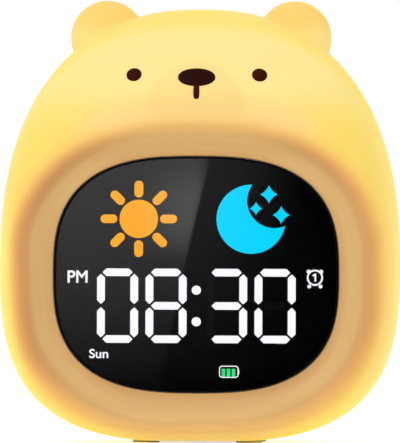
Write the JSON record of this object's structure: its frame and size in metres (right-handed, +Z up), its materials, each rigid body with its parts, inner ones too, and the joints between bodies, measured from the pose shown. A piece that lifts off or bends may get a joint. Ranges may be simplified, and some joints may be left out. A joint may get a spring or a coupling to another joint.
{
  "type": "kids alarm clock",
  "caption": "Bear-shaped bedside alarm clock with a soft glowing silicone skin, a smoked digital display in the belly, and press buttons, grille and charging socket behind.",
  "frame": {"origin": "centre of the footprint on the surface it stands on, under the middle of the body", "axes": "+Z up, the display faces -Y, +X to the right as seen from the front"},
  "size_m": [0.12, 0.0926, 0.1331],
  "materials": {
    "lit_silicone": "soft matte silicone, glowing yellow where the lamp lights it",
    "face_brown": "glossy dark brown",
    "smoked_lens": "smoked, polished",
    "black_foam": "matte foam",
    "black_plastic": "matte moulded",
    "white_pipe": "diffusing, lit white",
    "amber_pipe": "diffusing, lit amber",
    "cyan_pipe": "diffusing, lit cyan",
    "green_pipe": "diffusing, lit green",
    "green_board": "solder mask",
    "white_board": "white solder mask",
    "led_package": "satin",
    "zinc_screw": "zinc plated",
    "ribbon_film": "flexible film",
    "white_shell": "moulded, fine satin",
    "chip_black": "moulded",
    "cell_wrap": "shrink film",
    "speaker_black": "matte",
    "magnet_metal": "plated",
    "cream_plastic": "moulded, fine satin",
    "plated_steel": "plated",
    "grey_rubber": "matte",
    "button_yellow": "soft matte",
    "plunger_plastic": "satin"
  },
  "bodies": {
    "clock": {"silicone_skin": "lit_silicone", "eyes": "face_brown", "nose": "face_brown", "mouth": "face_brown", "display_lens": "smoked_lens", "lens_gasket": "black_foam", "segment_reflector": "black_plastic", "digit_1": "white_pipe", "digit_2": "white_pipe", "digit_3": "white_pipe", "digit_4": "white_pipe", "colon_dots": "white_pipe", "sun_icon": "amber_pipe", "moon_icon": "cyan_pipe", "alarm_icon": "white_pipe", "battery_icon": "green_pipe", "display_board": "green_board", "display_leds": "led_package", "display_screws": "zinc_screw", "display_ribbon": "ribbon_film", "front_housing": "white_shell", "rear_housing": "white_shell", "housing_screws": "zinc_screw", "lamp_bracket": "white_shell", "lamp_board": "white_board", "lamp_leds": "led_package", "lamp_screws": "zinc_screw", "main_board": "green_board", "board_screws": "zinc_screw", "board_chips": "chip_black", "tact_switches": "chip_black", "battery_tray": "black_plastic", "battery_cell": "cell_wrap", "speaker_frame": "speaker_black", "speaker_cone": "speaker_black", "speaker_magnet": "magnet_metal", "rear_panel": "cream_plastic", "panel_screws": "zinc_screw", "usb_socket": "plated_steel", "usb_tongue": "chip_black", "switch_body": "plated_steel", "base_cover": "cream_plastic", "base_screws": "zinc_screw", "rubber_feet": "grey_rubber"},
    "set_key": {"set_button": "button_yellow", "set_plunger": "plunger_plastic"},
    "alarm_key": {"alarm_button": "button_yellow", "alarm_plunger": "plunger_plastic"},
    "light_key": {"light_button": "button_yellow", "light_plunger": "plunger_plastic"},
    "plus_key": {"plus_button": "button_yellow", "plus_plunger": "plunger_plastic"},
    "minus_key": {"minus_button": "button_yellow", "minus_plunger": "plunger_plastic"},
    "power_slider": {"switch_knob": "chip_black"}
  },
  "joints": [
    {"name": "set_press", "type": "slide", "parent": "clock", "child": "set_key", "axis": [0, -1, 0], "range_m": [0, 0.0006], "stiffness_N_per_m": 1500, "springref_m": -0.0002},
    {"name": "alarm_press", "type": "slide", "parent": "clock", "child": "alarm_key", "axis": [0, -1, 0], "range_m": [0, 0.0006], "stiffness_N_per_m": 1500, "springref_m": -0.0002},
    {"name": "light_press", "type": "slide", "parent": "clock", "child": "light_key", "axis": [0, -1, 0], "range_m": [0, 0.0006], "stiffness_N_per_m": 1500, "springref_m": -0.0002},
    {"name": "plus_press", "type": "slide", "parent": "clock", "child": "plus_key", "axis": [0, -1, 0], "range_m": [0, 0.0006], "stiffness_N_per_m": 1500, "springref_m": -0.0002},
    {"name": "minus_press", "type": "slide", "parent": "clock", "child": "minus_key", "axis": [0, -1, 0], "range_m": [0, 0.0006], "stiffness_N_per_m": 1500, "springref_m": -0.0002},
    {"name": "power_slide", "type": "slide", "parent": "clock", "child": "power_slider", "axis": [1, 0, 0], "range_m": [0, 0.002]}
  ]
}
